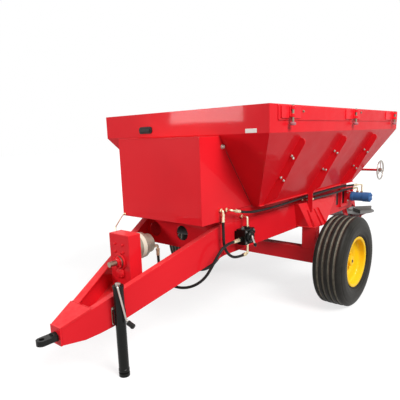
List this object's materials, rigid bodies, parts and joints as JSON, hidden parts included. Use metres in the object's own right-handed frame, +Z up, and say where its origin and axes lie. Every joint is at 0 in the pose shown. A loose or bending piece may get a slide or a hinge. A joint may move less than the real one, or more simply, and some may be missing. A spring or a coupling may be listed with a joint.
{
  "type": "trailed fertilizer spreader",
  "caption": "Trailed fertilizer spreader with a sloping-sided steel hopper, floor conveyor, rear gate, spinner discs, single axle, tapered drawbar, drive post and parking jack.",
  "frame": {"origin": "on the ground under the centre of the overall box", "axes": "+X forward to the tow eye, +Y to the machine's left, +Z up"},
  "size_m": [4.1215, 1.88, 1.63],
  "materials": {
    "bare_steel": "satin",
    "belt_rubber": "matt",
    "black_paint": "satin",
    "brass_fittings": "satin",
    "bright_plating": "polished",
    "hose_rubber": "matt",
    "motor_blue": "gloss",
    "pump_metal": "satin",
    "red_paint": "gloss",
    "rim_yellow": "gloss",
    "tyre_rubber": "matt"
  },
  "bodies": {
    "chassis": {"adjuster_shaft": "red_paint", "axle": "red_paint", "beam_left": "red_paint", "beam_right": "red_paint", "belt_motor": "motor_blue", "chute": "red_paint", "conveyor_bed": "bare_steel", "conveyor_belt": "belt_rubber", "drive_bearing_left": "red_paint", "drive_bearing_right": "red_paint", "drive_post": "red_paint", "drive_roller": "bare_steel", "front_box": "red_paint", "front_plate": "red_paint", "gate_guides": "red_paint", "hand_wheel": "bright_plating", "hopper_front": "red_paint", "hopper_rear": "red_paint", "hopper_side_left": "red_paint", "hopper_side_right": "red_paint", "hose_fittings": "brass_fittings", "hose_motor": "hose_rubber", "hose_pump": "hose_rubber", "hose_return": "hose_rubber", "hose_tank": "hose_rubber", "idler_roller": "bare_steel", "jack_crank": "bright_plating", "jack_grip": "black_paint", "jack_tube": "black_paint", "motor_adapter": "red_paint", "nose": "red_paint", "pto_shaft": "bare_steel", "pump": "pump_metal", "rail_left": "red_paint", "rail_right": "red_paint", "ribs_left": "red_paint", "ribs_right": "red_paint", "saddle_left": "red_paint", "saddle_right": "red_paint", "sill_left": "red_paint", "sill_right": "red_paint", "spinner_frame": "red_paint", "spinner_motors": "black_paint", "tie_plate": "red_paint", "tow_eye": "black_paint", "valve": "black_paint"},
    "gate": {"gate": "bare_steel"},
    "wheel_left": {"hub_left": "rim_yellow", "rim_left": "rim_yellow", "tyre_left": "tyre_rubber"},
    "wheel_right": {"hub_right": "rim_yellow", "rim_right": "rim_yellow", "tyre_right": "tyre_rubber"},
    "jack_leg": {"jack_leg": "black_paint"},
    "spinner_left": {"spinner_disc_left": "bare_steel"},
    "spinner_right": {"spinner_disc_right": "bare_steel"}
  },
  "joints": [
    {"name": "wheel_left_spin", "type": "hinge", "parent": "chassis", "child": "wheel_left", "pos_m": [-0.30575, 0.808, 0.38], "axis": [0, 1, 0], "continuous": true},
    {"name": "spinner_left_spin", "type": "hinge", "parent": "chassis", "child": "spinner_left", "pos_m": [-1.80575, 0.285, 0.53], "axis": [0, 0, 1], "continuous": true},
    {"name": "wheel_right_spin", "type": "hinge", "parent": "chassis", "child": "wheel_right", "pos_m": [-0.30575, -0.808, 0.38], "axis": [0, 1, 0], "continuous": true},
    {"name": "spinner_right_spin", "type": "hinge", "parent": "chassis", "child": "spinner_right", "pos_m": [-1.80575, -0.285, 0.53], "axis": [0, 0, 1], "continuous": true},
    {"name": "gate_slide", "type": "slide", "parent": "chassis", "child": "gate", "axis": [-0.4751, 0, 0.8799], "range_m": [0, 0.12]},
    {"name": "jack_slide", "type": "slide", "parent": "chassis", "child": "jack_leg", "axis": [0, 0, -1], "range_m": [0, 0.25]}
  ]
}
